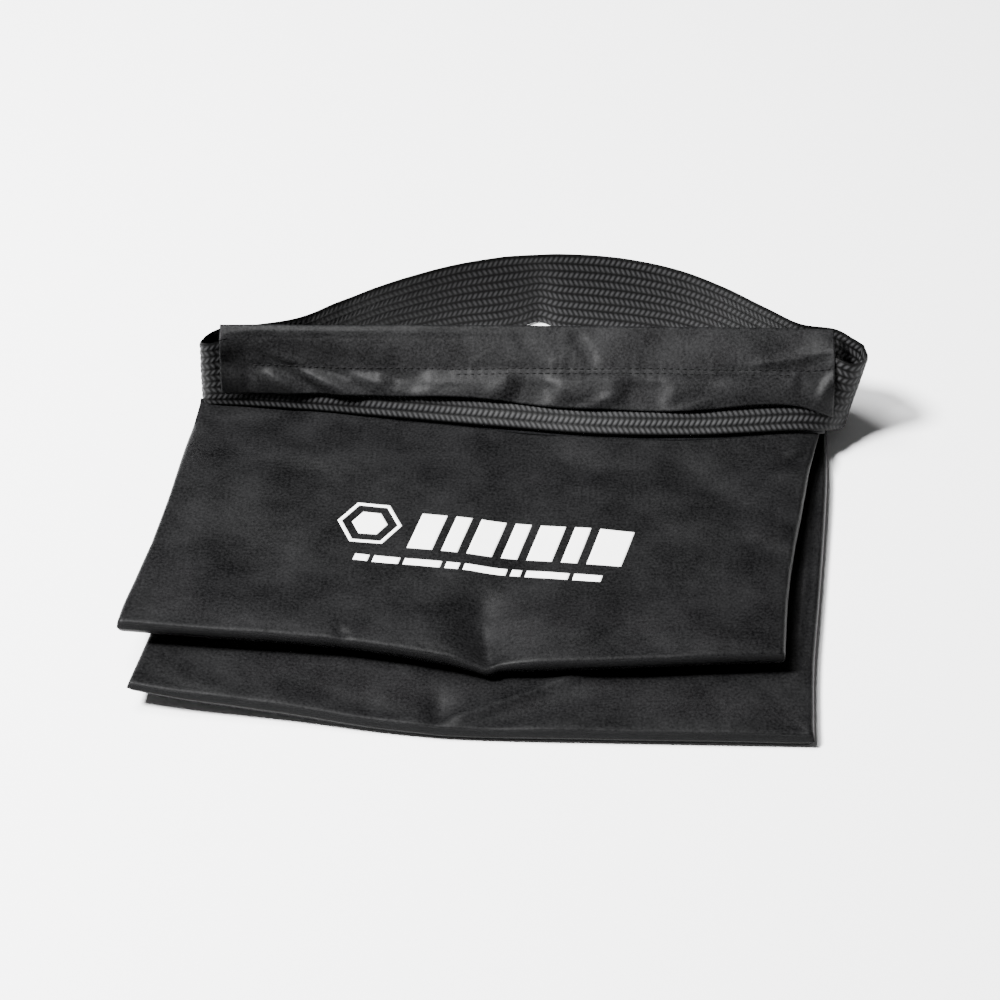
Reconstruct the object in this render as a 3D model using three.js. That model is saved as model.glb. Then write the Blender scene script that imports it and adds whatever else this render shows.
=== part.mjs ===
// Refillable saddle sandbag, laid down empty: a rear pouch flat on the floor, a front pouch folded
// over it, and a loop of webbing that stands on its edge, sewn into a nylon header along the front.
// Millimetres, +Z up. X runs along the header, -Y is the side that the pouches point to.
import * as THREE from 'three';

// ---- Driving dimensions -------------------------------------------------------------------------
const gap = 0.3;                  // clearance between pieces that touch
const sheetGap = 0.8;             // clearance between the header's twisted sheets
const cloth = 1.2;                // pouch panel thickness
const liner = 0.8;                // saddle web thickness
const nylon = 1.0;                // header panel thickness
const cavity = 7.0;               // hollow height inside each pouch
const saddleGap = 5.4;            // free height between the two pouches

const headerLength = 350;
const ridgeHeight = 60;
const webbingThickness = 1.6;
const webbingExposed = 16;        // webbing that shows below the header's hem

const seamWidth = 4;              // turned seam allowance inside a pouch
const tapeWidth = 20;             // hook-and-loop tape
const tapeThickness = 1.0;
const tapeDrop = 0.8;             // tape starts this far below the lip of the mouth
const tapeInset = 7;              // and this far in from the side seams
const mouthSlit = 6;              // front pouch lip stands this far in front of its hinge line

const hingeY = -58;               // front pouch folds here, just in front of the header's hem
const rearTopY = -1;

// Pouch outlines seen from above: left-top, right-top, right-bottom, left-bottom.
const rearOutline = [[-175, rearTopY], [175, rearTopY], [154, -266], [-206, -240]];
const frontOutline = [[-194, hingeY], [164, hingeY], [139, -221], [-213, -212]];

// Heights of the stacked pouch panels.
const rearInnerZ = cloth + cavity;
const frontInnerZ = rearInnerZ + cloth + saddleGap;
const frontOuterZ = frontInnerZ + cloth + cavity;

// The webbing's two edges, left wrap, along the header, to the right wrap.
const frontRunLower = [
  [-185.5, -6, 5], [-187, -11, 7], [-181, -15.5, 11.2], [-160, -17.6, 12.4], [-129, -21.5, 13.6],
  [-72, -34, 19], [-15, -44.4, 22.5], [42, -52, 24.5], [99, -52.5, 25], [150, -47.5, 24.5],
  [170, -42, 20], [181, -30, 10], [184.5, -19, 6], [184, -10, 5],
];
const frontRunUpper = [
  [-184.5, -6, 55], [-186, -11, 55.5], [-180, -12.5, 56.5], [-160, -5, 57], [-129, -4, 57.2],
  [-72, -4.6, 56.5], [-15, -7, 54.6], [42, -11, 52.5], [99, -11.5, 52.5], [150, -9, 54],
  [170, -14, 54.5], [185, -24, 55.5], [194, -19, 56], [193, -10, 56.5],
];
// The same two edges round the back: the carry handle, left wrap to right wrap.
const handleLower = [
  [-185.3, -5, 4.5], [-180, 1, 3.5], [-172, 5.2, 3.5], [-155, 7.5, 3.5], [-131, 14, 3.5],
  [-109, 28.5, 3], [-86, 44, 2], [-63, 53, 1], [-40, 59.5, 0.6], [-18, 62.5, 0.6],
  [-6, 65.5, 0.6],
  [7, 70, 0.6], [20, 66, 0.6], [43, 63.5, 0.6], [66, 60.5, 0.6], [90, 55, 0.6], [113, 45, 1],
  [135, 29, 2], [157, 12, 3],
  [173, 5.6, 4], [180, -2, 4.5], [183.6, -9, 5],
];
const handleUpper = [
  [-184.3, -5, 54.5], [-180, 1, 53.5], [-172, 5.2, 53.5], [-155, 7.5, 53.5], [-131, 14, 53.5],
  [-109, 29, 53], [-86, 44.5, 52], [-63, 57, 51], [-40, 67, 50.6], [-18, 73, 50.6],
  [-6, 75, 50.6], [7, 76.3, 50.6], [20, 77, 50.6], [43, 75.5, 50.6], [66, 71, 50.6],
  [90, 63, 50.6], [113, 49, 51], [135, 31, 52],
  [157, 12, 54], [177, 5.6, 55.5], [187, -3, 56], [192.6, -9, 56.4],
];

// ---- Materials ----------------------------------------------------------------------------------
const finish = (color, roughness) => new THREE.MeshStandardMaterial({ color, roughness, metalness: 0 });
const looks = {
  pouchNylon: () => finish(0x26262a, 0.62),
  liningNylon: () => finish(0x1f1f22, 0.7),
  webbing: () => finish(0x2c2c2e, 0.75),
  thread: () => finish(0x1a1a1c, 0.8),
  tape: () => finish(0x141416, 0.9),
  ink: () => finish(0xf2f2f0, 0.55),
};

// ---- Geometry helpers ---------------------------------------------------------------------------
const assembly = new THREE.Group();

function addPiece(name, geometry, material) {
  const piece = new THREE.Mesh(geometry, material);
  piece.name = name;
  assembly.add(piece);
}

function slab(outline, z, thickness) {
  const shape = new THREE.Shape(outline.map(([x, y]) => new THREE.Vector2(x, y)));
  const geometry = new THREE.ExtrudeGeometry(shape, { depth: thickness, bevelEnabled: false });
  return geometry.translate(0, 0, z);
}

// Point inside a four-cornered outline: u runs left to right, v from the top edge to the bottom.
function pointOn([leftTop, rightTop, rightBottom, leftBottom], u, v) {
  const mix = (a, b, t) => a.map((value, i) => value + (b[i] - value) * t);
  return mix(mix(leftTop, rightTop, u), mix(leftBottom, rightBottom, u), v);
}

function patch(outline, [u0, u1], [v0, v1]) {
  return [pointOn(outline, u0, v0), pointOn(outline, u1, v0), pointOn(outline, u1, v1),
    pointOn(outline, u0, v1)];
}

// Closed solid through a row of rings that all have the same number of points.
function loft(rings) {
  const count = rings[0].length;
  const positions = rings.flat().flatMap((p) => [p.x, p.y, p.z]);
  const index = [];
  const side = (a, b, c, d) => index.push(a, b, c, a, c, d);
  for (let r = 0; r + 1 < rings.length; r += 1) {
    for (let k = 0; k < count; k += 1) {
      const next = (k + 1) % count;
      side(r * count + k, r * count + next, (r + 1) * count + next, (r + 1) * count + k);
    }
  }
  const half = count / 2;
  const last = (rings.length - 1) * count;
  for (let k = 0; k + 1 < half; k += 1) {        // end caps, as quads across the thin direction
    side(count - 1 - k, count - 2 - k, k + 1, k);
    side(last + k, last + k + 1, last + count - 2 - k, last + count - 1 - k);
  }
  const corner = (i) => new THREE.Vector3().fromArray(positions, 3 * i);
  let volume = 0;
  for (let i = 0; i < index.length; i += 3) {
    volume += corner(index[i]).dot(corner(index[i + 1]).cross(corner(index[i + 2])));
  }
  if (volume < 0) index.reverse();               // faces point out whichever way the rings run
  const geometry = new THREE.BufferGeometry();
  geometry.setAttribute('position', new THREE.Float32BufferAttribute(positions, 3));
  geometry.setIndex(index);
  geometry.computeVertexNormals();
  return geometry;
}

const curveThrough = (points) => (
  new THREE.CatmullRomCurve3(points.map((p) => new THREE.Vector3(...p)), false, 'centripetal')
);

// A flat strap between two edge curves, `steps` lengths long.
function strap(lowerPoints, upperPoints, thickness, steps) {
  const lower = curveThrough(lowerPoints);
  const upper = curveThrough(upperPoints);
  const rings = [];
  for (let i = 0; i <= steps; i += 1) {
    const t = i / steps;
    const low = lower.getPoint(t);
    const high = upper.getPoint(t);
    const along = lower.getTangent(t).add(upper.getTangent(t));
    const out = along.cross(high.clone().sub(low)).normalize().multiplyScalar(thickness / 2);
    rings.push([low.clone().sub(out), high.clone().sub(out), high.clone().add(out), low.clone().add(out)]);
  }
  return loft(rings);
}

// Where the webbing's front run crosses a plane of constant x: lower edge, up direction, outward.
const lowerEdge = curveThrough(frontRunLower);
const upperEdge = curveThrough(frontRunUpper);

function pointAtX(curve, x) {
  let [low, high] = [0.12, 0.92];
  for (let i = 0; i < 30; i += 1) {
    const middle = (low + high) / 2;
    if (curve.getPoint(middle).x < x) low = middle;
    else high = middle;
  }
  return curve.getPoint(low);
}

function webbingSection(x) {
  const low = pointAtX(lowerEdge, x);
  const high = pointAtX(upperEdge, x);
  const up = new THREE.Vector3(0, high.y - low.y, high.z - low.z).normalize();
  const out = new THREE.Vector3(0, -up.z, up.y);
  return { low: low.setX(x), high: high.setX(x), up, out };
}

const headerStations = 56;
const stationsAlong = (from, to, count) => (
  Array.from({ length: count + 1 }, (_, i) => from + ((to - from) * i) / count)
);
const headerXs = stationsAlong(-headerLength / 2, headerLength / 2, headerStations);
const move = (point, direction, distance) => point.clone().addScaledVector(direction, distance);

// ---- Pouches ------------------------------------------------------------------------------------
function pouch(side, outline, upperOutline, lowerZ, upperZ, names) {
  const width = outline[1][0] - outline[0][0];
  const length = outline[0][1] - outline[3][1];
  const seamU = seamWidth / width;
  const seamV = seamWidth / length;
  const clear = gap / width;
  const tapeZ = lowerZ + cloth + gap;
  const seamHeight = cavity - 2 * gap;
  const mouthV = (outline[0][1] - upperOutline[0][1] + gap) / length;
  const tapeV = [mouthV + tapeDrop / length, mouthV + tapeWidth / length];
  const tapeU = [(seamWidth + tapeInset) / width, 1 - (seamWidth + tapeInset) / width];

  addPiece(names.lower, slab(outline, lowerZ, cloth), looks.pouchNylon());
  addPiece(names.upper, slab(upperOutline, upperZ, cloth), looks.pouchNylon());
  const sideV = [mouthV, 1 - seamV - 2 * clear];
  const seams = {
    left_seam: [[0, seamU], sideV],
    right_seam: [[1 - seamU, 1], sideV],
    bottom_seam: [[0, 1], [1 - seamV, 1]],
  };
  for (const [seam, [u, v]] of Object.entries(seams)) {
    addPiece(`${side}_${seam}`, slab(patch(outline, u, v), tapeZ, seamHeight), looks.thread());
  }
  const tapes = { mouth_hook_tape: tapeZ, mouth_loop_tape: upperZ - gap - tapeThickness };
  for (const [tape, z] of Object.entries(tapes)) {
    addPiece(`${side}_${tape}`, slab(patch(outline, tapeU, tapeV), z, tapeThickness), looks.tape());
  }
}

pouch('rear', rearOutline, rearOutline, 0, rearInnerZ,
  { lower: 'rear_outer_panel', upper: 'rear_inner_panel' });

const slitV = mouthSlit / (frontOutline[0][1] - frontOutline[3][1]);
pouch('front', frontOutline, patch(frontOutline, [0, 1], [slitV, 1]), frontInnerZ, frontOuterZ,
  { lower: 'front_inner_panel', upper: 'front_outer_panel' });

// ---- Saddle: the lining that joins the two pouches over the ridge --------------------------------
const saddleEnd = headerLength / 2 - 2;
const frontWebEnds = [-saddleEnd + 10, saddleEnd - 6];
const underlap = 1.9;              // the front web passes this far below the webbing's lower edge
const webInFront = 0.6;            // and starts this far behind the hinge line
const webBelowEdge = 0.6;          // it turns up this far under the edge
const webTopDrop = 4;              // and stops this far below the webbing's upper edge
const webOffset = webbingThickness / 2 + sheetGap + liner / 2;
const hingeZ = frontInnerZ + cloth / 2;

function saddleFrontRing(x) {
  const { low, high, up, out } = webbingSection(x);
  const start = new THREE.Vector3(x, hingeY + webInFront, hingeZ);
  const corner = move(move(low, up, -webBelowEdge), out, -webOffset).setZ(low.z - underlap);
  const top = move(move(high, up, -webTopDrop), out, -webOffset);
  const lift = new THREE.Vector3(0, 0, liner / 2);
  const bisector = out.clone().add(new THREE.Vector3(0, 0, 1)).normalize().multiplyScalar(liner / 2);
  const across = out.clone().multiplyScalar(liner / 2);
  return [
    start.clone().sub(lift), corner.clone().sub(bisector), top.clone().sub(across),
    top.clone().add(across), corner.clone().add(bisector), start.clone().add(lift),
  ];
}
const saddleXs = stationsAlong(...frontWebEnds, headerStations);
addPiece('saddle_front_web', loft(saddleXs.map(saddleFrontRing)), looks.liningNylon());

const ring = (x, points) => points.map(([y, z]) => new THREE.Vector3(x, y, z));
const rearWebBottom = rearInnerZ + cloth + gap;
const rearWebTop = 56;
const prism = (from, to, points) => loft([ring(from, points), ring(to, points)]);
const rearWeb = [[-0.2, rearWebBottom], [-0.6, rearWebTop], [0.2, rearWebTop], [0.6, rearWebBottom]];
addPiece('saddle_rear_web', prism(-saddleEnd, saddleEnd, rearWeb), looks.liningNylon());

// ---- Header: the nylon sleeve that is folded over the webbing's upper edge ------------------------
const sleeveOffset = webbingThickness / 2 + sheetGap;
const shoulderRise = 0.5;          // the sleeve bends this far above the webbing's upper edge
const ridgeOverlap = 0.2;          // its inner face reaches this far behind the ridge

function headerFrontRing(x) {
  const { low, high, up, out } = webbingSection(x);
  const hem = move(move(low, up, webbingExposed), out, sleeveOffset);
  const shoulder = move(move(high, up, shoulderRise), out, sleeveOffset);
  const ridge = new THREE.Vector3(x, 0, ridgeHeight);
  return [
    hem, shoulder, ridge.clone().add(new THREE.Vector3(0, ridgeOverlap, -nylon)),
    ridge, move(shoulder, out, nylon), move(hem, out, nylon),
  ];
}
addPiece('header_front_panel', loft(headerXs.map(headerFrontRing)), looks.pouchNylon());

const rearHemHeight = rearInnerZ - 1.0;
const rearPanelTop = ridgeHeight - 0.4;
const rearPanel = [[2.0, rearHemHeight], [0.6, rearPanelTop], [1.6, rearPanelTop], [3.0, rearHemHeight]];
addPiece('header_rear_panel', prism(-headerLength / 2, headerLength / 2, rearPanel), looks.pouchNylon());

// Stitch rows lie on the sleeve's face, a set distance down from the ridge.
const threadWidth = 0.6;
const stitchStations = 40;

function stitchRow(name, from, to, distance) {
  const rings = stationsAlong(from, to, stitchStations).map((x) => {
    const { up, out } = webbingSection(x);
    const [, , , , shoulder] = headerFrontRing(x);
    const fromRidge = Math.hypot(shoulder.y, shoulder.z - ridgeHeight);
    const top = move(move(shoulder, up, fromRidge - distance), out, gap);
    const bottom = move(top, up, -threadWidth);
    return [bottom, top, move(top, out, threadWidth), move(bottom, out, threadWidth)];
  });
  addPiece(name, loft(rings), looks.thread());
}
stitchRow('header_stitch_row', -158, 172, 25);
stitchRow('header_stitch_row_short', -40, 150, 28);

// ---- Webbing ------------------------------------------------------------------------------------
const frontRunSteps = 104;
const handleSteps = 64;
const frontRun = strap(frontRunLower, frontRunUpper, webbingThickness, frontRunSteps);
addPiece('webbing_front_run', frontRun, looks.webbing());
const handle = strap(handleLower, handleUpper, webbingThickness, handleSteps);
addPiece('handle_webbing', handle, looks.webbing());

// ---- Printed mark: an emblem, a band and a rule ----------------------------------------------------
const ink = 0.3;
const inkZ = frontOuterZ + cloth + gap;
const markTilt = -0.105;           // radians, the mark runs slightly down to the right
const markOrigin = [-104, -138];
const markPoint = ([x, y]) => [
  markOrigin[0] + x * Math.cos(markTilt) - y * Math.sin(markTilt),
  markOrigin[1] + x * Math.sin(markTilt) + y * Math.cos(markTilt),
];

const emblemCentre = [17, 17];
const emblemOuter = 18;
const emblemInner = 14;
const hexagon = (radius) => Array.from({ length: 6 }, (_, i) => {
  const angle = (i * Math.PI) / 3;
  const corner = [emblemCentre[0] + radius * Math.cos(angle), emblemCentre[1] + radius * Math.sin(angle)];
  return new THREE.Vector2(...markPoint(corner));
});
const emblemShape = new THREE.Shape(hexagon(emblemOuter));
emblemShape.holes.push(new THREE.Path(hexagon(emblemInner)));
const emblem = new THREE.ExtrudeGeometry(emblemShape, { depth: ink, bevelEnabled: false });
addPiece('printed_emblem', emblem.translate(0, 0, inkZ), looks.ink());

// The band holds a row of slanted bars, printed close together; the rule runs below it.
const bandSlant = 5;
const band = [[40, 0], [158, 0], [158 + bandSlant, 28], [40 + bandSlant, 28]];
addPiece('printed_band', slab(band.map(markPoint), inkZ, ink), looks.ink());
const rule = [[12, -13], [148, -13], [148, -8], [12, -8]];
addPiece('printed_rule', slab(rule.map(markPoint), inkZ, ink), looks.ink());

// ---- Placement: the origin is the middle of the footprint, on the floor ---------------------------
const box = new THREE.Box3().setFromObject(assembly);
const centre = box.getCenter(new THREE.Vector3());
assembly.position.set(-centre.x, -centre.y, -box.min.z);

export default assembly;
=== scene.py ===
"""The looks of an empty saddle sandbag: nylon pouches and header, herringbone webbing, stitches, print.

Shapes are worked out in millimetres in the design's own axes (x along the header from its middle, y from
the header's ridge, negative towards the pouches, z up) and moved into the row frame by to_row().
"""
import math

import bmesh
import bpy
import numpy as np
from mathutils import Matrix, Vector, noise
from mathutils.bvhtree import BVHTree


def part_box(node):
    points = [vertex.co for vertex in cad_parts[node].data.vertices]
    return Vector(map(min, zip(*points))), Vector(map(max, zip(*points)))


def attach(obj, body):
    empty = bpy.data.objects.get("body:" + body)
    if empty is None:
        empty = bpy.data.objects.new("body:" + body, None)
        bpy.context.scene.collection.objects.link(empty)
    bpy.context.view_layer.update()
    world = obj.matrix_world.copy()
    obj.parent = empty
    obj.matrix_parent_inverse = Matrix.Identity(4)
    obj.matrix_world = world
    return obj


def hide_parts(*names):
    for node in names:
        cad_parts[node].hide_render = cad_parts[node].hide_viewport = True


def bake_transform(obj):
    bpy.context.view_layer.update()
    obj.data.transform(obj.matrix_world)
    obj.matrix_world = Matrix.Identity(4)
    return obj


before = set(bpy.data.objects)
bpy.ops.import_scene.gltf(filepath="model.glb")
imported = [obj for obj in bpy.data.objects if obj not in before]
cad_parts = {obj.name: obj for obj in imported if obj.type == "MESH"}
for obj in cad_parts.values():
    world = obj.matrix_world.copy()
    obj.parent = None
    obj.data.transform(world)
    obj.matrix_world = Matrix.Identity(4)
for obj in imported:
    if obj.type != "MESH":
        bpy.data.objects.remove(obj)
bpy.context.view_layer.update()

MM = 0.001
RIDGE = 60.0                    # height of the header's ridge
WEBBING_WIDTH = 50.0
WEBBING_HALF = 0.8              # half the webbing's thickness
EXPOSED = 15.0                  # webbing that shows below the header's hem
STITCH_ROW = 25.0               # distance of the stitch row below the ridge
REAR_PANEL_BACK = 3.0           # how far the header's rear panel reaches behind the ridge
WELD_DISTANCE = 0.02            # points nearer than this are one point

_low, _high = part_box("header_rear_panel")
ORIGIN = np.array([(_low.x + _high.x) / 2, _high.y - REAR_PANEL_BACK * MM, 0.0])


def to_row(points):
    return np.asarray(points, float) * MM + ORIGIN


# ---- Small maths -------------------------------------------------------------------------------------
def smoothstep(a, b, x):
    t = np.clip((x - a) / (b - a), 0, 1)
    return t * t * (3 - 2 * t)


def unit(v):
    return v / np.maximum(np.linalg.norm(v, axis=-1, keepdims=True), 1e-9)


def curve(points, t):
    """Catmull-Rom curve through points, t from 0 to 1."""
    p = np.asarray(points, float)
    p = np.vstack([2 * p[0] - p[1], p, 2 * p[-1] - p[-2]])
    x = np.clip(np.asarray(t, float), 0, 1) * (len(p) - 3)
    i = np.minimum(x.astype(int), len(p) - 4)
    f = (x - i)[..., None]
    a, b, c, d = p[i], p[i + 1], p[i + 2], p[i + 3]
    return 0.5 * (2 * b + (c - a) * f + (2 * a - 5 * b + 4 * c - d) * f**2 + (3 * b - a - 3 * c + d) * f**3)


def profile(knots, x):
    """Smooth function of one variable through (x, value) knots."""
    knots = np.asarray(knots, float)
    t = np.interp(x, knots[:, 0], np.linspace(0, 1, len(knots)))
    return curve(knots[:, 1:], t)[..., 0]


def crumple(x, y, size, seed):
    """Smooth noise from -1 to 1 with features about size millimetres across."""
    value = np.empty(x.size)
    for i, (a, b) in enumerate(zip(x.ravel() / size, y.ravel() / size)):
        value[i] = noise.noise(Vector((a + seed, b - 2 * seed, 0.37 * seed)))
    return value.reshape(x.shape)


def soft_floor(value, floor, sharpness=2.2):
    """The larger of value and floor, with a rounded corner between the two."""
    return floor + np.log1p(np.exp(sharpness * (value - floor))) / sharpness


def crease(x, y, marks):
    """Sum of folds, each (x0, y0, x1, y1, height, width): a soft line that fades out at both ends."""
    total = np.zeros_like(x)
    for x0, y0, x1, y1, height, width in marks:
        length = math.hypot(x1 - x0, y1 - y0)
        ax, ay = (x1 - x0) / length, (y1 - y0) / length
        along = ((x - x0) * ax + (y - y0) * ay) / length
        across = (x - x0) * -ay + (y - y0) * ax
        fade = smoothstep(-0.35, 0.25, along) * (1 - smoothstep(0.75, 1.35, along))
        total += height * fade * np.exp(-0.5 * (across / width) ** 2)
    return total


# ---- Mesh helpers ------------------------------------------------------------------------------------
def new_object(name, verts, faces, material, uvs=None):
    mesh = bpy.data.meshes.new(name)
    mesh.from_pydata([tuple(v) for v in verts], [], faces)
    if uvs is not None:
        layer = mesh.uv_layers.new(name="UVMap")
        loops = np.zeros(len(mesh.loops), int)
        mesh.loops.foreach_get("vertex_index", loops)
        layer.data.foreach_set("uv", np.asarray(uvs, float)[loops].ravel())
    mesh.polygons.foreach_set("use_smooth", [True] * len(mesh.polygons))
    mesh.materials.append(material)
    obj = bpy.data.objects.new(name, mesh)
    bpy.context.scene.collection.objects.link(obj)
    return obj


def grid_faces(rows, columns, wrap=False):
    r, c = np.meshgrid(np.arange(rows - 1), np.arange(columns if wrap else columns - 1), indexing="ij")
    n = (c + 1) % columns
    quads = np.stack([r * columns + c, r * columns + n, (r + 1) * columns + n, (r + 1) * columns + c], -1)
    return quads.reshape(-1, 4).tolist()


def cloth_object(name, points, uvs, material, thickness=0.5):
    """A sheet of cloth from a (rows, columns, 3) array in design millimetres."""
    rows, columns, _ = points.shape
    obj = new_object(name, to_row(points.reshape(-1, 3)), grid_faces(rows, columns), material,
                     uvs.reshape(-1, 2) * MM)
    obj["cloth_mm"] = thickness
    return obj


def bake_modifiers(obj):
    """Replaces the object's mesh by what its modifiers make of it."""
    graph = bpy.context.evaluated_depsgraph_get()
    mesh = bpy.data.meshes.new_from_object(obj.evaluated_get(graph))
    old = obj.data
    obj.modifiers.clear()
    obj.data = mesh
    bpy.data.meshes.remove(old)


def weld(obj):
    work = bmesh.new()
    work.from_mesh(obj.data)
    bmesh.ops.remove_doubles(work, verts=work.verts, dist=WELD_DISTANCE * MM)
    work.to_mesh(obj.data)
    work.free()


def thicken(obj):
    """Gives a one-layer cloth its thickness, half to each side."""
    solid = obj.modifiers.new("thickness", "SOLIDIFY")
    solid.thickness = obj["cloth_mm"] * MM
    solid.offset = 0
    bake_modifiers(obj)
    obj.data.polygons.foreach_set("use_smooth", [True] * len(obj.data.polygons))


# ---- Materials ---------------------------------------------------------------------------------------
THREAD_BANDS = 630.0            # scale of a wave texture with a thread every half millimetre


class Shader:
    """A principled material that is built up node by node."""

    def __init__(self, name, **values):
        self.material = bpy.data.materials.new(name)
        self.material.use_nodes = True
        self.tree = self.material.node_tree
        self.main = self.tree.nodes["Principled BSDF"]
        for socket, value in values.items():
            self.main.inputs[socket.replace("_", " ")].default_value = value

    def node(self, kind, inputs=(), **settings):
        node = self.tree.nodes.new("ShaderNode" + kind)
        for key, value in settings.items():
            setattr(node, key, value)
        for key, value in dict(inputs).items():
            if isinstance(value, bpy.types.NodeSocket):
                self.tree.links.new(value, node.inputs[key])
            else:
                node.inputs[key].default_value = value
        return node

    def link(self, source, socket):
        self.tree.links.new(source, self.main.inputs[socket])

    def math(self, operation, a, b):
        return self.node("Math", {0: a, 1: b}, operation=operation).outputs[0]

    def spread(self, value, low, high):
        """Maps a 0 to 1 value to the range low to high."""
        return self.node("MapRange", {"Value": value, "To Min": low, "To Max": high}).outputs[0]

    def noise(self, vector, scale, detail=3.0, roughness=0.5):
        inputs = {"Vector": vector, "Scale": scale, "Detail": detail, "Roughness": roughness}
        return self.node("TexNoise", inputs).outputs["Fac"]

    def bands(self, vector, scale, direction):
        return self.node("TexWave", {"Vector": vector, "Scale": scale}, wave_type="BANDS",
                         bands_direction=direction).outputs["Fac"]

    def bump(self, height, distance, strength=1.0, below=None):
        inputs = {"Height": height, "Distance": distance, "Strength": strength}
        if below is not None:
            inputs["Normal"] = below
        return self.node("Bump", inputs).outputs["Normal"]

    def tint(self, factor, dark, light):
        ramp = self.node("Mix", {0: factor}, data_type="RGBA")
        ramp.inputs[6].default_value = (*dark, 1)
        ramp.inputs[7].default_value = (*light, 1)
        return ramp.outputs[2]


def nylon(name, dark, light):
    """Matte woven cloth: faint blotches of uneven tone that also serve as painted shade of soft crumples,
    fine grain, a thread pattern and soft dents.
    """
    shader = Shader(name, IOR=1.5, Sheen_Weight=0.005, Sheen_Roughness=0.4, Specular_IOR_Level=0.06)
    uv = shader.node("TexCoord").outputs["UV"]
    blotch_and_painted_shade = shader.noise(uv, 34, 4, 0.6)
    grain = shader.noise(uv, 640, 4, 0.7)
    # Blotches darken and lighten the colour: uneven cloth tone and painted shade of soft crumples.
    shade = shader.math("ADD", shader.spread(blotch_and_painted_shade, -0.3, 0.95), shader.spread(grain, -1.1, 1.3))
    shader.link(shader.tint(shade, dark, light), "Base Color")
    shader.link(shader.spread(blotch_and_painted_shade, 0.38, 0.54), "Roughness")
    warp, weft = shader.bands(uv, THREAD_BANDS, "X"), shader.bands(uv, THREAD_BANDS, "Y")
    threads = shader.math("MULTIPLY", warp, weft)
    fine = shader.bump(threads, 0.00005, 0.5)
    soft = shader.bump(shader.noise(uv, 120, 4, 0.55), 0.0008, 0.4, fine)
    shader.link(soft, "Normal")
    return shader.material


def webbing_material():
    """Painted shade in the grooves and a painted highlight on the woven strokes, driven by the mesh's own
    relief.
    """
    shader = Shader("webbing_weave", IOR=1.5, Sheen_Weight=0.008, Specular_IOR_Level=0.08)
    coords = shader.node("TexCoord").outputs["UV"]
    relief = shader.node("Attribute", attribute_name="relief").outputs["Fac"]
    fray = shader.noise(coords, 700, 3, 0.6)
    # Weave height to a power: painted shade in the grooves, painted highlight on the strokes.
    shade = shader.math("MULTIPLY", shader.math("POWER", relief, 2.6), shader.spread(fray, 0.5, 1.3))
    shader.link(shader.tint(shade, (0.0002, 0.0002, 0.0002), (0.03, 0.03, 0.031)), "Base Color")
    shader.link(shader.spread(fray, 0.42, 0.68), "Roughness")
    yarn = shader.noise(coords, 2600, 2, 0.5)
    shader.link(shader.bump(yarn, 0.00015, 0.5), "Normal")
    return shader.material


def plain_cloth(name, colour, roughness, scale):
    """Thread or tape: one mottled colour with a fine nap."""
    shader = Shader(name, Sheen_Weight=0.02, Specular_IOR_Level=0.1)
    place = shader.node("TexCoord").outputs["Object"]
    mottle = shader.noise(place, scale, 4, 0.6)
    light = tuple(1.9 * c for c in colour)
    dark = tuple(0.5 * c for c in colour)
    shader.link(shader.tint(mottle, dark, light), "Base Color")
    shader.link(shader.spread(mottle, roughness - 0.1, roughness + 0.1), "Roughness")
    shader.link(shader.bump(shader.noise(place, scale * 3, 2), 0.0002, 0.6), "Normal")
    return shader.material


def ink_material():
    shader = Shader("white_ink", Specular_IOR_Level=0.35)
    place = shader.node("TexCoord").outputs["Object"]
    wear = shader.noise(place, 1500, 4, 0.7)
    shader.link(shader.tint(wear, (0.78, 0.78, 0.77), (0.98, 0.98, 0.97)), "Base Color")
    shader.link(shader.spread(wear, 0.45, 0.65), "Roughness")
    shader.link(shader.bump(shader.noise(place, 2400, 2), 0.0001, 0.35), "Normal")
    return shader.material


POUCH = nylon("pouch_nylon_cloth", (0.0005, 0.0005, 0.0006), (0.0082, 0.0082, 0.0085))
# The header's nylon has a lighter top colour than the pouches': painted light, for the brighter light on the
# header.
HEADER = nylon("header_nylon_cloth", (0.0008, 0.0008, 0.0009), (0.0128, 0.0128, 0.0132))
LINING = nylon("lining_nylon_cloth", (0.003, 0.003, 0.0035), (0.014, 0.014, 0.015))
WEBBING = webbing_material()
THREAD = plain_cloth("sewing_thread", (0.0012, 0.0012, 0.0013), 0.7, 900)
TAPE = plain_cloth("hook_and_loop_tape", (0.008, 0.008, 0.009), 0.85, 1400)
INK = ink_material()

# ---- Camera and studio -------------------------------------------------------------------------------
CAMERA_AZIMUTH = math.radians(0.86)
CAMERA_ELEVATION = math.radians(44.0)
CAMERA_DISTANCE = 1.786
CAMERA_LENS = 113.4
CAMERA_SENSOR = 36.0
AIM = to_row([-14.0, -80.9, 0.0])
FLOOR_HALF = 6.0                # metres
SKY_STRENGTH = 0.12
LIGHTS = [                      # name, place in metres, width in metres, watts
    ("key", (-1.12, -0.24, 1.8), 0.5, 275),
    ("overhead", (-0.72, 0.42, 2.1), 0.9, 78),
]


def make_camera():
    back = Vector((math.sin(CAMERA_AZIMUTH) * math.cos(CAMERA_ELEVATION),
                   -math.cos(CAMERA_AZIMUTH) * math.cos(CAMERA_ELEVATION), math.sin(CAMERA_ELEVATION)))
    data = bpy.data.cameras.new("camera")
    data.lens = CAMERA_LENS
    data.sensor_width = CAMERA_SENSOR
    camera = bpy.data.objects.new("camera", data)
    camera.location = Vector(AIM) + CAMERA_DISTANCE * back
    camera.rotation_euler = back.to_track_quat("Z", "Y").to_euler()
    bpy.context.scene.collection.objects.link(camera)
    bpy.context.scene.camera = camera


def area_light(name, place, size, power):
    """A round lamp aimed at the middle of the floor."""
    data = bpy.data.lights.new(name, "AREA")
    data.shape = "DISK"
    data.size = size
    data.energy = power
    lamp = bpy.data.objects.new(name, data)
    lamp.location = place
    lamp.rotation_euler = Vector(place).to_track_quat("Z", "Y").to_euler()
    bpy.context.scene.collection.objects.link(lamp)


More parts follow.
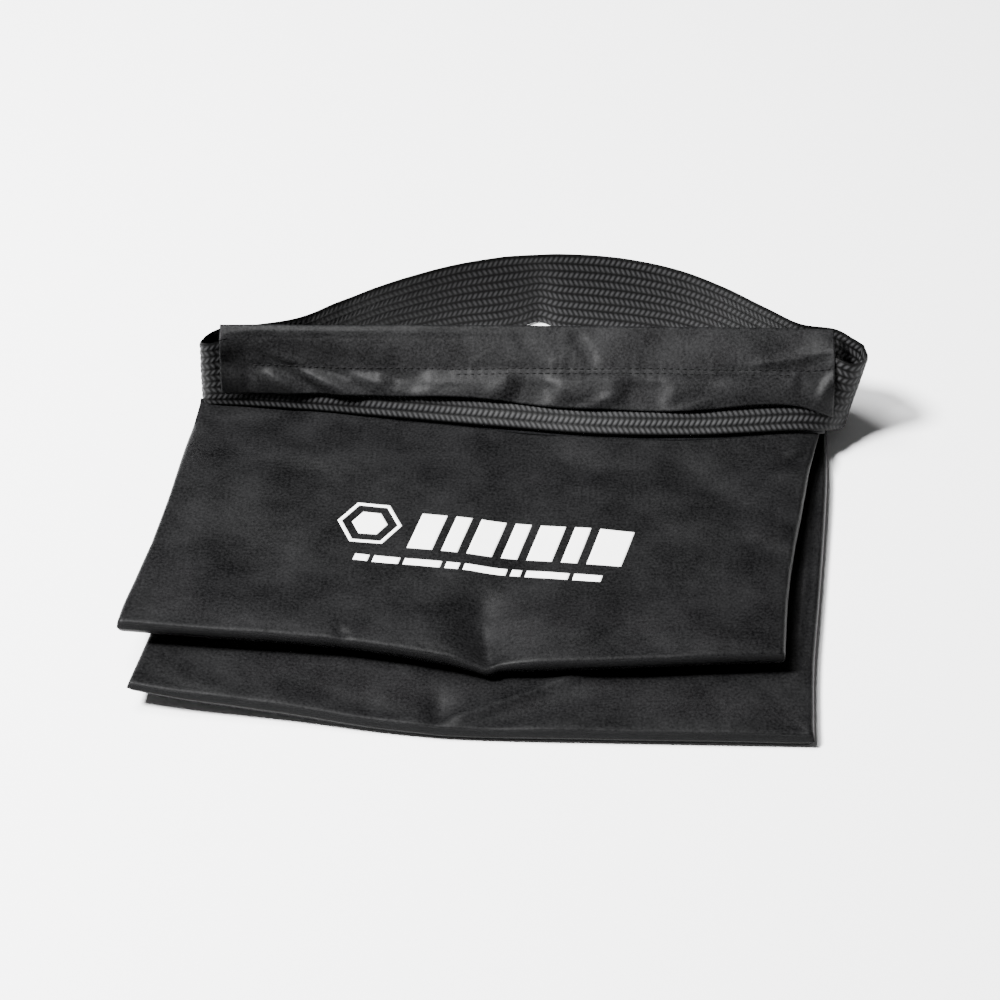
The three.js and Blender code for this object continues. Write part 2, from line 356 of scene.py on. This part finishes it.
def make_floor():
    paper = Shader("studio_paper", Roughness=0.9, Specular_IOR_Level=0.1)
    place = paper.node("TexCoord").outputs["Object"]
    paper.link(paper.tint(paper.noise(place, 3), (0.86, 0.86, 0.865), (0.89, 0.89, 0.895)), "Base Color")
    corners = [(-FLOOR_HALF, -FLOOR_HALF, 0), (FLOOR_HALF, -FLOOR_HALF, 0),
               (FLOOR_HALF, FLOOR_HALF, 0), (-FLOOR_HALF, FLOOR_HALF, 0)]
    new_object("studio_floor", corners, [(0, 1, 2, 3)], paper.material)


def make_sky():
    world = bpy.data.worlds.new("studio_world")
    world.use_nodes = True
    sky = world.node_tree.nodes["Background"]
    sky.inputs["Color"].default_value = (1.0, 1.0, 1.0, 1)
    sky.inputs["Strength"].default_value = SKY_STRENGTH
    bpy.context.scene.world = world


make_camera()
make_floor()
make_sky()
for light in LIGHTS:
    area_light(*light)

# ---- Webbing: one loop of strap, its two edges as listed points from the left wrap --------------------
FRONT_LOWER = [
    (-185.5, -6, 5), (-187, -11, 7), (-181, -15.5, 11.2), (-160, -17.6, 12.4), (-129, -21.5, 13.6),
    (-72, -34, 19), (-15, -44.4, 22.5), (42, -52, 24.5), (99, -52.5, 25), (150, -47.5, 24.5),
    (170, -42, 20), (181, -30, 10), (184.5, -19, 6), (184, -10, 5),
]
FRONT_UPPER = [
    (-184.5, -6, 55), (-186, -11, 55.5), (-180, -12.5, 56.5), (-160, -5, 57), (-129, -4, 57.2),
    (-72, -4.6, 56.5), (-15, -7, 54.6), (42, -11, 52.5), (99, -11.5, 52.5), (150, -9, 54),
    (170, -14, 54.5), (185, -24, 55.5), (194, -19, 56), (193, -10, 56.5),
]
HANDLE_LOWER = [
    (-185.3, -5, 4.5), (-180, 1, 3.5), (-172, 5.2, 3.5), (-155, 7.5, 3.5), (-131, 14, 3.5),
    (-109, 28.5, 3), (-86, 44, 2), (-63, 53, 1), (-40, 59.5, 0.6), (-18, 62.5, 0.6), (-6, 66.5, 0.6),
    (7, 73, 0.6), (20, 67, 0.6), (43, 63.5, 0.6), (66, 60.5, 0.6), (90, 55, 0.6), (113, 45, 1),
    (135, 29, 2), (157, 12, 3), (173, 5.6, 4), (180, -2, 4.5), (183.6, -9, 5),
]
HANDLE_UPPER = [
    (-184.3, -5, 54.5), (-180, 1, 53.5), (-172, 5.2, 53.5), (-155, 7.5, 53.5), (-131, 14, 53.5),
    (-109, 29, 53), (-86, 44.5, 52), (-63, 57, 51), (-40, 67, 50.6), (-18, 73, 50.6),
    (-6, 75, 50.6), (7, 76.3, 50.6), (20, 77, 50.6), (43, 75.5, 50.6), (66, 71, 50.6), (90, 63, 50.6),
    (113, 49, 51), (135, 31, 52), (157, 12, 54), (177, 5.6, 55.5), (187, -3, 56), (192.6, -9, 56.4),
]
ROW_PITCH = 4.9                 # width of one herringbone row
STROKE_PITCH = 3.1              # length of one woven stroke
RELIEF = 0.42                   # height of a stroke
GROOVE = 0.25                   # how deep the grooves lie below the webbing's half thickness
SELVEDGE = 1.6                  # width of the rounded edge
STRAP_STEP = 0.64               # between points along the webbing
STRAP_COLUMNS = 76              # points across it


def herringbone(along, across):
    """Height of the weave, 0 in the grooves to 1 on the strokes."""
    row = (across + WEBBING_WIDTH / 2) / ROW_PITCH
    inside = row - np.floor(row)
    lean = np.where(np.floor(row) % 2 == 0, 1.0, -1.0)
    stroke = np.abs(np.sin(np.pi * (along / STROKE_PITCH + lean * 0.8 * (inside - 0.5))))
    rounded = 1 - np.abs(2 * inside - 1) ** 3
    return stroke**0.7 * rounded


def strap_frame(lower, upper, step):
    """Even steps along a strap: distance, both edges and the way out of its face."""
    t = np.linspace(0, 1, 1200)
    low, high = curve(lower, t), curve(upper, t)
    middle = (low + high) / 2
    length = np.concatenate([[0], np.cumsum(np.linalg.norm(np.diff(middle, axis=0), axis=1))])
    along = np.linspace(0, length[-1], int(length[-1] / step) + 1)
    pick = lambda values: np.stack([np.interp(along, length, values[:, k]) for k in range(3)], -1)
    low, high = pick(low), pick(high)
    forward = unit(np.gradient((low + high) / 2, axis=0))
    out = unit(np.cross(forward, high - low))
    return along, low, high, out


def strap_faces(rows):
    """Quads round a strap whose rings run over the front face and back over the rear one."""
    columns = 2 * STRAP_COLUMNS
    faces = grid_faces(rows, columns, wrap=True)
    last = (rows - 1) * columns
    for k in range(STRAP_COLUMNS - 1):
        other = columns - 1 - k
        faces.append((k + 1, k, other, other - 1))
        faces.append((last + k, last + k + 1, last + other - 1, last + other))
    return faces


def front_and_back(front, back):
    """One ring of values: over the front face, then back over the rear one."""
    return np.concatenate([front, back[:, ::-1]], axis=1)


def strap(name, lower, upper, start=0.0):
    along, low, high, out = strap_frame(lower, upper, STRAP_STEP)
    across = np.linspace(-WEBBING_WIDTH / 2, WEBBING_WIDTH / 2, STRAP_COLUMNS)
    a, w = np.meshgrid(along + start, across, indexing="ij")
    edge = np.clip((WEBBING_WIDTH / 2 - np.abs(w)) / SELVEDGE, 0, 1) ** 0.5
    height = herringbone(a, w)
    ripple = 0.5 * crumple(a, w, 38, 3.1) + 0.2 * crumple(a, w, 14, 8.4)
    share = (w / WEBBING_WIDTH + 0.5)[..., None]
    middle = low[:, None] + (high - low)[:, None] * share + out[:, None] * ripple[..., None]
    half = (edge * (WEBBING_HALF - GROOVE + RELIEF * height))[..., None] * out[:, None]
    ring = front_and_back(middle + half, middle - half)
    place = np.stack([a, w], -1)
    uv = front_and_back(place, place) * MM
    obj = new_object(name, to_row(ring.reshape(-1, 3)), strap_faces(len(ring)), WEBBING, uv.reshape(-1, 2))
    # Weave height per point; the webbing's material paints shade in the grooves and highlight on the strokes
    # from it.
    layer = obj.data.attributes.new("relief", "FLOAT", "POINT")
    layer.data.foreach_set("value", front_and_back(height * edge, height * edge).ravel())
    return obj


front_run = strap("webbing_front", FRONT_LOWER, FRONT_UPPER)
handle = strap("webbing_handle", HANDLE_LOWER, HANDLE_UPPER, start=3.0)

# ---- Header sleeve: nylon folded over the webbing's upper edge ----------------------------------------
HEADER_HALF = 175.5             # half the header's length
CLOTH_GAP = 1.2                 # from the webbing's middle to the cloth over its upper edge
REAR_DROP = 52.4                # how far the rear face hangs down
HEM_FROM, HEM_TO = 40, 54       # distances from the ridge over which the hem flattens
ROUNDING = (-7.0, -3.5, 0.0, 3.5, 7.0)      # shifts averaged along the fold, so its shoulder is round

between_wraps = np.linspace(0.13, 0.93, 400)
LOWER_EDGE = curve(FRONT_LOWER, between_wraps)
UPPER_EDGE = curve(FRONT_UPPER, between_wraps)


def webbing_at(x):
    """The front run where it crosses x: lower edge, upper edge, unit up and unit out, in the y-z plane."""
    low = np.stack([x] + [np.interp(x, LOWER_EDGE[:, 0], LOWER_EDGE[:, k]) for k in (1, 2)], -1)
    high = np.stack([x] + [np.interp(x, UPPER_EDGE[:, 0], UPPER_EDGE[:, k]) for k in (1, 2)], -1)
    up = unit((high - low) * (0, 1, 1))
    return low, high, up, np.stack([np.zeros_like(x), -up[..., 2], up[..., 1]], -1)


# Folds on the header's face: x and distance from the ridge at both ends, height, width.
HEADER_FOLDS = [
    (-163, 14, -119, 39, -3.0, 3.0), (-158, 17, -136, 38, 2.4, 3.2), (-167, 17, -158, 38, -2.2, 2.6),
    (-130, 17, -90, 39, -2.2, 3.2), (-146, 17, -98, 42, 2.2, 3.4), (-135, 15, -80, 26, -1.6, 3.0),
    (-78, 30, -60, 33, -2.6, 5.0), (-12, 44, 8, 46, -1.8, 4.0), (-4, 7, 12, 21, -2.0, 2.4),
    (26, 2, 38, 20, -2.2, 2.2), (-6, 36, 14, 38, -3.0, 5.0), (56, 39, 77, 43, -3.6, 6.5),
    (79, 53, 105, 45, 1.8, 2.2), (23, 54, 51, 42, 1.6, 2.6),
    (156, 30, 168, 34, -3.0, 7.0), (128, 24, 172, 14, 1.6, 2.4), (-60, 8, -30, 18, -0.8, 7.0),
    (70, 8, 110, 18, -0.9, 8.0), (110, 36, 140, 40, 0.9, 5.0), (-60, 40, -30, 47, 1.0, 3.4),
]


def shoulder_at(x):
    """Where the header's cloth turns down over the webbing: ridge point, shoulder point, distance between."""
    _, high, _, out = webbing_at(x)
    ridge = np.stack([x, np.zeros_like(x), np.full_like(x, RIDGE)], -1)
    shoulder = high + CLOTH_GAP * out
    return ridge, shoulder, np.linalg.norm(shoulder - ridge, axis=-1)


def header_base(x, s):
    """The smooth front face: from the ridge to the shoulder, then down along the webbing."""
    up = webbing_at(x)[2]
    ridge, shoulder, drop = shoulder_at(x)
    base = np.zeros_like(ridge)
    for shift in ROUNDING:
        along = s + shift * np.minimum(1, s / ROUNDING[-1])
        over = np.clip(along / np.maximum(drop, 1e-6), 0, 1)[..., None]
        hang = up * np.maximum(along - drop, 0)[..., None]
        base += (ridge + (shoulder - ridge) * over - hang) / len(ROUNDING)
    return base


def header_points(x, s):
    """Points of the header's front face, s millimetres down from the ridge."""
    out = webbing_at(x)[3]
    loose = smoothstep(STITCH_ROW, 34, s) * (1 - 0.85 * smoothstep(36, 50, s))
    wrinkles = crease(x, s, HEADER_FOLDS) * smoothstep(0, 8, s) * (1 - 0.55 * smoothstep(HEM_FROM, HEM_TO, s))
    wrinkles += 0.5 * crumple(x, s * 1.3, 21, 5.2) * smoothstep(2, 14, s) * (0.5 + loose)
    wrinkles += 0.13 * crumple(x, s * 1.5, 7, 9.7) * smoothstep(2, 10, s)
    row = np.exp(-0.5 * ((s - STITCH_ROW) / 2.0) ** 2)
    pucker = 0.3 * crumple(x, s * 0.25, 3.4, 2.2) * np.exp(-0.5 * ((s - STITCH_ROW) / 4) ** 2)
    lift = 1.5 + 2.4 * loose - 0.6 * row + wrinkles * (1 - 0.6 * row) + pucker
    lift = soft_floor(lift, 0.75) * (1 - 0.4 * smoothstep(HEM_FROM, HEM_TO, s))
    return header_base(x, s) + out * lift[..., None]


def hem_distance(x):
    """How far below the ridge the hem runs."""
    drop = shoulder_at(x)[2]
    wave = 0.9 * np.sin(x / 31) + 0.5 * np.sin(x / 13 + 1)
    return drop + WEBBING_WIDTH - EXPOSED + wave


def header_back(x, share):
    """The rear face, share from 0 at the ridge to 1 at its lower edge."""
    wrinkle = 0.5 * crumple(x, share * 60, 26, 4.4) + 0.25 * crumple(x, share * 60, 9, 6.1)
    y = 0.4 + 1.9 * share + wrinkle * smoothstep(0, 0.2, share)
    return np.stack([x, y, RIDGE - 0.2 - REAR_DROP * share], -1)


def make_header():
    x = np.linspace(-HEADER_HALF, HEADER_HALF, 352)
    hem = hem_distance(x)
    X, F = np.meshgrid(x, np.linspace(1, 0, 44), indexing="ij")
    XB, B = np.meshgrid(x, np.linspace(0, 1, 40)[1:], indexing="ij")
    points = np.concatenate([header_points(X, F * hem[:, None]), header_back(XB, B)], axis=1)
    points[..., 2] += 0.35 * crumple(X[:, :1], X[:, :1] * 0, 24, 7.7) * np.ones((1, points.shape[1]))
    run = np.concatenate([-F * hem[:, None], B * REAR_DROP], axis=1)
    uv = np.stack([np.repeat(x[:, None], points.shape[1], 1), run], -1)
    return cloth_object("header_sleeve", points, uv, HEADER, 0.6)


header = make_header()

# ---- Pouches -----------------------------------------------------------------------------------------
# Sides as (y, x), the bottom edge as (share across, y), its height as (share across, z).
FRONT_LEFT = [(-212, -216), (-203, -215.6), (-173, -210.6), (-140, -204.7), (-91, -197), (-47, -192.7),
              (-15, -189)]
FRONT_RIGHT = [(-221, 139.1), (-178, 142.8), (-143, 147.8), (-99, 155.7), (-73, 160.4), (-40, 168),
               (-15, 172)]
FRONT_BOTTOM = [(0, -209.4), (0.19, -212), (0.34, -214.9), (0.425, -219.1), (0.5, -223.9), (0.54, -227.2),
                (0.557, -228.6), (0.575, -226.6), (0.635, -226.6), (0.815, -224.8), (1, -220.7)]
FRONT_EDGE_HEIGHT = [(0, 27), (0.19, 23), (0.34, 20.5), (0.425, 19), (0.5, 17.5), (0.56, 15.5), (0.635, 17),
                     (0.815, 19.5), (1, 19.5)]
REAR_LEFT = [(-243, -209), (-200, -201), (-150, -194), (-100, -187), (-50, -181), (0, -175)]
REAR_RIGHT = [(-267, 153), (-214, 156), (-165, 161.5), (-115, 167), (-68, 171.5), (0, 175)]
REAR_BOTTOM = [(0, -241), (0.08, -245.5), (0.167, -249), (0.255, -253), (0.357, -258.5), (0.458, -262.5),
               (0.574, -264), (0.69, -264.5), (0.835, -265), (1, -265.5)]
REAR_EDGE_HEIGHT = [(0, 15), (0.08, 12), (0.167, 9.5), (0.255, 7.5), (0.357, 5.5), (0.458, 4.2), (0.574, 4.3),
                    (1, 4.4)]

# Folds on the pouches: x and y at both ends, height, width.
FRONT_FOLDS = [
    (-24, -176, -18, -232, -3.6, 8.0), (-21, -200, -17, -232, -1.6, 2.4), (-60, -196, -24, -226, 1.6, 12.0),
    (90, -78, 124, -110, -2.2, 8.0), (150, -62, 168, -54, 1.4, 2.6), (146, -70, 164, -62, -1.3, 2.6),
    (140, -80, 160, -76, 1.0, 3.0),
    (126, -128, 150, -124, 1.4, 5.0), (128, -140, 149, -146, -1.2, 4.5), (-186, -52, -120, -84, -1.3, 9.0),
    (-150, -60, -80, -66, 1.1, 8.0), (-165, -115, -140, -165, -1.2, 12.0), (-70, -60, -30, -84, -1.1, 8.0),
    (30, -62, 70, -74, 1.0, 7.0), (-98, -207, -92, -217, -1.8, 2.2), (60, -190, 120, -208, 0.9, 9.0),
    (-190, -190, -120, -196, 0.9, 7.0), (0, -190, 40, -205, 1.1, 8.0),
]
REAR_FOLDS = [
    (-44, -260, 46, -216, 1.9, 2.4), (-30, -264, 60, -228, -1.5, 5.0), (150, -256, 155, -268, 1.4, 2.6),
    (-44, -240, -43, -268, -2.2, 5.0), (161, -96, 149, -200, 1.0, 1.8), (-190, -225, -150, -248, 1.2, 6.0),
    (90, -236, 150, -244, 0.8, 6.0), (-120, -235, -70, -252, -0.9, 7.0),
]


EDGE_RADIUS = 3.4               # over which the two sheets close at the sides and the bottom
CLOTH_APART = 400               # keeps the two sheets' cloth patterns apart
REAR_HEIGHT = 4.6               # middle of the rear pouch above the floor


def edge_round(distance, radius):
    """0 at the edge to 1 at radius from it, as a full rounded side."""
    t = 1 - np.clip(distance / radius, 0, 1)
    return np.sqrt(np.maximum(1 - t**2.6, 0))


def dense_ends(count, power=0.62):
    """0 to 1 with more points near both ends."""
    t = np.linspace(-1, 1, count)
    return 0.5 + 0.5 * np.sign(t) * (1 - (1 - np.abs(t)) ** (1 / power))


def pouch_plan(u, v, spec, top):
    """Where share u across and share v down falls: x, y and the pouch's width there."""
    left, right, bottom = spec["left"], spec["right"], spec["bottom"]
    y = top + (profile(bottom, u) - top) * v
    x_left, x_right = profile(left, y), profile(right, y)
    return x_left + (x_right - x_left) * u, y, x_right - x_left


def shared_relief(spec, x, y):
    """Crumples and folds that both sheets of a pouch take together."""
    seed = spec["seed"]
    return (1.2 * crumple(x, y, 62, seed) + 0.5 * crumple(x, y, 26, seed + 3)) + crease(x, y, spec["folds"])


def pouch_sheet(spec, u, v, side):
    """One sheet of a pouch, side -1 for the lower and 1 for the upper: its points and cloth places."""
    seed = spec["seed"]
    top = spec["inner_top"](u) if side * spec["outward"] < 0 else spec["outer_top"](u)
    x, y, width = pouch_plan(u, v, spec, top)
    length = np.abs(profile(spec["bottom"], u) - y)
    inset = np.minimum(u, 1 - u) * width
    rim = edge_round(inset, EDGE_RADIUS) * edge_round(length, EDGE_RADIUS)
    z = spec["middle"](u, x, y) + side * (rim * spec["half"](u, x, y))
    near = smoothstep(0, 10, length) * smoothstep(0, 9, inset)
    own = 0.35 * crumple(x, y, 24, seed + 2 * side) + 0.14 * crumple(x, y, 9, seed + 3 * side)
    z += own * rim * near + shared_relief(spec, x, y) * (0.35 + 0.65 * near)
    z = spec["press"](x, y, z, side)
    return np.stack([x, y, z], -1), np.stack([x, y + CLOTH_APART * side], -1)


def make_pouch(name, spec):
    """A cloth strip folded at the bottom and sewn at both sides: one sheet down, the other back up."""
    u, v = np.meshgrid(dense_ends(230), np.linspace(0, 1, 130) ** 0.85, indexing="ij")
    low, low_uv = pouch_sheet(spec, u, v, -1)
    high, high_uv = pouch_sheet(spec, u, v, 1)
    points = np.concatenate([low, high[:, -2::-1]], axis=1)
    uv = np.concatenate([low_uv, high_uv[:, -2::-1]], axis=1)
    return cloth_object(name, points, uv, POUCH)


def webbing_low(x):
    """The webbing's lower edge above a point of the front pouch."""
    return webbing_at(np.clip(x, -176, 170))[0]


def front_middle(u, x, y):
    """Height midway between the front pouch's sheets, from under the webbing to the bottom edge."""
    edge = profile(FRONT_EDGE_HEIGHT, u)
    level = 17.0 + 1.6 * np.exp(-((u / 0.18) ** 2))
    low = webbing_low(x)
    under = low[..., 2] - 3.4
    body = level + (edge - level) * smoothstep(-120, -222, y)
    ramp = 30 + 50 * smoothstep(60, -150, x)
    return under + (body - under) * smoothstep(0, 1, (low[..., 1] + 4 - y) / ramp)


def front_half(u, x, y):
    low = webbing_low(x)
    return 1.0 + 3.0 * smoothstep(-4, 50, low[..., 1] - y) - 1.0 * np.exp(-(((u - 0.56) / 0.05) ** 2))


def front_press(x, y, z, side):
    """Keeps the front pouch above the rear one."""
    return np.maximum(z, 10.6 if side < 0 else 11.2)


def rear_middle(u, x, y):
    edge = profile(REAR_EDGE_HEIGHT, u)
    return REAR_HEIGHT + (edge - REAR_HEIGHT) * smoothstep(-150, -262, y)


def rear_half(u, x, y):
    return np.full_like(u, 4.0) - 1.2 * np.exp(-((u / 0.12) ** 2)) * smoothstep(-180, -240, y)


def rear_press(x, y, z, side):
    """Keeps the rear pouch above the floor and under the front one."""
    if side < 0:
        return np.maximum(z, 0.3)
    limit = 11.5 + 20 * smoothstep(-60, -200, y)
    return np.minimum(np.maximum(z, 0.9), limit)


def under_webbing(back):
    """How far up a front pouch sheet runs: a little way behind the webbing's lower edge."""
    def top(u):
        return webbing_low(-189 + 357 * u)[..., 1] + back
    return top


def rear_top(u):
    return np.full_like(u, -1.5)


FRONT_SPEC = {
    "left": FRONT_LEFT, "right": FRONT_RIGHT, "bottom": FRONT_BOTTOM, "folds": FRONT_FOLDS,
    "seed": 11.3, "outward": 1, "inner_top": under_webbing(5), "outer_top": under_webbing(6),
    "middle": front_middle, "half": front_half, "press": front_press,
}
REAR_SPEC = {
    "left": REAR_LEFT, "right": REAR_RIGHT, "bottom": REAR_BOTTOM, "folds": REAR_FOLDS,
    "seed": 21.9, "outward": -1, "inner_top": rear_top, "outer_top": rear_top,
    "middle": rear_middle, "half": rear_half, "press": rear_press,
}

front_pouch = make_pouch("front_pouch_cloth", FRONT_SPEC)
rear_pouch = make_pouch("rear_pouch_cloth", REAR_SPEC)

# ---- Pieces inside: seam allowances, mouth tapes, lining ----------------------------------------------
SEAM_INSETS = np.array([1.6, 2.8, 4.0, 5.2])    # rows of the turned-in strip, from the pouch's edge
SEAM_WIDTH_SCALE = 350          # pouch width and length that turn the insets into shares
SEAM_LENGTH_SCALE = 150
LINING_HALF = 171


def seam_allowance(name, spec):
    """A narrow turned-in strip down one side, along the bottom and up the other side."""
    side, along = np.linspace(0.25, 1, 60), np.linspace(0, 1, 120)
    share, deep = SEAM_INSETS / SEAM_WIDTH_SCALE, 1 - SEAM_INSETS / SEAM_LENGTH_SCALE
    u = np.concatenate([np.tile(share, (60, 1)), share + (1 - 2 * share) * along[:, None],
                        np.tile(1 - share, (60, 1))])
    v = np.concatenate([side[:, None] * deep, np.tile(deep, (120, 1)), side[::-1, None] * deep])
    x, y, _ = pouch_plan(u, v, spec, spec["outer_top"](u))
    z = spec["middle"](u, x, y) + 0.6 * shared_relief(spec, x, y)
    return cloth_object(name, np.stack([x, y, z], -1), np.stack([x, y], -1), THREAD, 0.9)


def mouth_tape(name, node, spec, side):
    """A strip of closure tape sewn inside the mouth, where its node lies, against one sheet of cloth."""
    low, high = (np.array(corner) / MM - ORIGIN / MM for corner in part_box(node))
    across, down = np.linspace(0.045, 0.955, 170), np.linspace(low[1] + 1, high[1] - 1, 16)
    U, Y = np.meshgrid(across, down, indexing="ij")
    left, right = profile(spec["left"], Y), profile(spec["right"], Y)
    X = left + (right - left) * U
    half = np.maximum(spec["half"](U, X, Y) - 1.3, 0.7)
    Z = spec["middle"](U, X, Y) + side * half + shared_relief(spec, X, Y)
    tape = cloth_object(name, np.stack([X, Y, Z], -1), np.stack([X, Y], -1), TAPE, 1.0)
    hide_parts(node)
    return tape


def make_lining():
    """The sheet behind the webbing: up from its lower edge, over under the ridge, down to the rear pouch."""
    x = np.linspace(-LINING_HALF, LINING_HALF, 172)
    low, high, up, out = webbing_at(x)
    rise = np.linspace(-0.04, 1, 36)[:, None, None]
    front = low + (high - low) * rise - 2.4 * out
    fall = np.linspace(0, 1, 30)[:, None]
    back = np.stack([np.tile(x, (30, 1)), -0.9 - 0.1 * fall * x**0, 56.5 - 46.5 * fall * x**0], -1)
    sheet = np.concatenate([front, back]).transpose(1, 0, 2)
    rows = np.arange(sheet.shape[1]) * 1.5
    X, R = np.meshgrid(x, rows, indexing="ij")
    sheet[..., 1] += 0.25 * crumple(X, R, 18, 9.1)
    return cloth_object("saddle_lining", sheet, np.stack([X, R], -1), LINING, 0.5)


lining = make_lining()
front_seams = seam_allowance("front_seam_allowance", FRONT_SPEC)
rear_seams = seam_allowance("rear_seam_allowance", REAR_SPEC)
front_tapes = [mouth_tape("front_hook_tape", "front_mouth_hook_tape", FRONT_SPEC, -1),
               mouth_tape("front_loop_tape", "front_mouth_loop_tape", FRONT_SPEC, 1)]
rear_tapes = [mouth_tape("rear_hook_tape", "rear_mouth_hook_tape", REAR_SPEC, -1),
              mouth_tape("rear_loop_tape", "rear_mouth_loop_tape", REAR_SPEC, 1)]
for cloth in (header, front_pouch, rear_pouch, lining, front_seams, rear_seams, *front_tapes, *rear_tapes):
    thicken(cloth)

# ---- Stitches ----------------------------------------------------------------------------------------
STITCH_PITCH = 3.9
STITCH_LENGTH = 3.0
STITCH_RADIUS = 0.42
STITCH_RINGS, STITCH_SIDES = 7, 6


def stitch_points(start, s):
    """One stitch: rings of points round a short arc that comes out of the cloth and goes back in."""
    t = np.linspace(0, 1, STITCH_RINGS)
    x = start + STITCH_LENGTH * t
    spine = header_points(x, np.full(STITCH_RINGS, s + 0.25 * math.sin(start * 1.7)))
    _, _, up, out = webbing_at(x)
    swell = np.sin(np.pi * (0.08 + 0.84 * t))
    spine = spine + out * (0.1 + 0.35 * swell)[:, None]
    points = []
    for k in range(STITCH_RINGS):
        for j in range(STITCH_SIDES):
            angle = 2 * math.pi * j / STITCH_SIDES
            side = math.cos(angle) * up[k] + math.sin(angle) * out[k]
            points.append(spine[k] + STITCH_RADIUS * swell[k] * side)
    return points


def stitch_row(name, node, first, last, s):
    """A row of separate lockstitches along the header, s millimetres below the ridge."""
    ends = [list(range(STITCH_SIDES))[::-1],
            [(STITCH_RINGS - 1) * STITCH_SIDES + j for j in range(STITCH_SIDES)]]
    one = grid_faces(STITCH_RINGS, STITCH_SIDES, wrap=True) + ends
    verts, faces = [], []
    for start in np.arange(first, last, STITCH_PITCH):
        faces += [[len(verts) + i for i in face] for face in one]
        verts += stitch_points(start, s)
    row = new_object(name, to_row(verts), faces, THREAD)
    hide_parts(node)
    return row


stitches = [stitch_row("header_stitches", "header_stitch_row", -157, 171, STITCH_ROW),
            stitch_row("header_stitches_short", "header_stitch_row_short", -40, 150, STITCH_ROW + 3)]

# ---- Print: generic marks laid on the cloth ----------------------------------------------------------
MARK_ORIGIN = (-104.0, -138.0)
MARK_TILT = -0.105
EMBLEM_CENTRE = (17.0, 17.0)
BAND_HEIGHT = 28.0
BAND_SLANT = 5.0
BARS = [(40, 54), (59, 68), (73, 87), (92, 101), (106, 120), (125, 134), (139, 158)]
DASHES = [(12, 20), (22.5, 37), (39.5, 60), (62.5, 70), (72.5, 96), (98.5, 104), (106.5, 130), (132.5, 148)]
DASH_LOW, DASH_HIGH = -13.0, -8.0
DASH_SLANT = 0.8
HEXAGON_OUTER, HEXAGON_INNER, HEXAGON_CORE = 18, 15.6, 10
INK_STEP = 1.2                  # between points of an inked area
INK_LIFT = 0.16
INK_THICKNESS = 0.12
ABOVE_ALL = 80.0                # height from which the print is dropped on the cloth


def on_cloth(surface, spot):
    """The point just above the cloth under a spot given in the print's own axes."""
    cos, sin = math.cos(MARK_TILT), math.sin(MARK_TILT)
    x = MARK_ORIGIN[0] + spot[0] * cos - spot[1] * sin
    y = MARK_ORIGIN[1] + spot[0] * sin + spot[1] * cos
    hit = surface.ray_cast(Vector(to_row([x, y, ABOVE_ALL])), Vector((0, 0, -1)))[0]
    return hit + Vector((0, 0, INK_LIFT * MM))


def inked_quad(surface, quad):
    """Points over one four-cornered area, and how many each way."""
    a, b, c, d = (np.array(corner, float) for corner in quad)
    n = max(2, int(np.linalg.norm(b - a) / INK_STEP) + 2)
    m = max(2, int(np.linalg.norm(d - a) / INK_STEP) + 2)
    points = []
    for i in range(n):
        for j in range(m):
            f, g = i / (n - 1), j / (m - 1)
            points.append(on_cloth(surface, (a * (1 - f) + b * f) * (1 - g) + (d * (1 - f) + c * f) * g))
    return points, n, m


def printed(name, node, quads, surface):
    """Thin ink over four-cornered areas given in the print's own axes."""
    verts, faces = [], []
    for quad in quads:
        points, n, m = inked_quad(surface, quad)
        faces += [[len(verts) + i for i in face] for face in grid_faces(n, m)]
        verts += points
    ink = new_object(name, verts, faces, INK)
    weld(ink)
    ink["cloth_mm"] = INK_THICKNESS
    thicken(ink)
    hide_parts(node)
    return ink


def ring_quads(centre, outer, inner, sides=6):
    """The quads between two polygons round a centre."""
    def corner(radius, k):
        angle = 2 * math.pi * k / sides
        return centre[0] + radius * math.cos(angle), centre[1] + radius * math.sin(angle)
    return [(corner(inner, k), corner(inner, k + 1), corner(outer, k + 1), corner(outer, k))
            for k in range(sides)]


def slanted(left, right, low, high, slant):
    return (left, low), (right, low), (right + slant, high), (left + slant, high)


cloth_surface = BVHTree.FromObject(front_pouch, bpy.context.evaluated_depsgraph_get())
emblem = (ring_quads(EMBLEM_CENTRE, HEXAGON_OUTER, HEXAGON_INNER)
          + ring_quads(EMBLEM_CENTRE, HEXAGON_CORE, 0))
bars = [slanted(left, right, 0, BAND_HEIGHT, BAND_SLANT) for left, right in BARS]
dashes = [slanted(left, right, DASH_LOW, DASH_HIGH, DASH_SLANT) for left, right in DASHES]
prints = [
    printed("ink_emblem", "printed_emblem", emblem, cloth_surface),
    printed("ink_bars", "printed_band", bars, cloth_surface),
    printed("ink_dashes", "printed_rule", dashes, cloth_surface),
]

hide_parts("webbing_front_run")
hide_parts("handle_webbing")
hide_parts("header_front_panel", "header_rear_panel")
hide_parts("front_outer_panel", "front_inner_panel")
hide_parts("rear_outer_panel", "rear_inner_panel")
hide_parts("saddle_front_web", "saddle_rear_web")
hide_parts("front_left_seam", "front_right_seam", "front_bottom_seam")
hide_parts("rear_left_seam", "rear_right_seam", "rear_bottom_seam")
for piece in (front_run, header, rear_pouch, lining, rear_seams, *rear_tapes, *stitches):
    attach(piece, "saddle")
for piece in (*front_tapes, *prints):
    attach(piece, "front_pouch")
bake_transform(front_seams)
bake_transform(front_pouch)
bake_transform(handle)
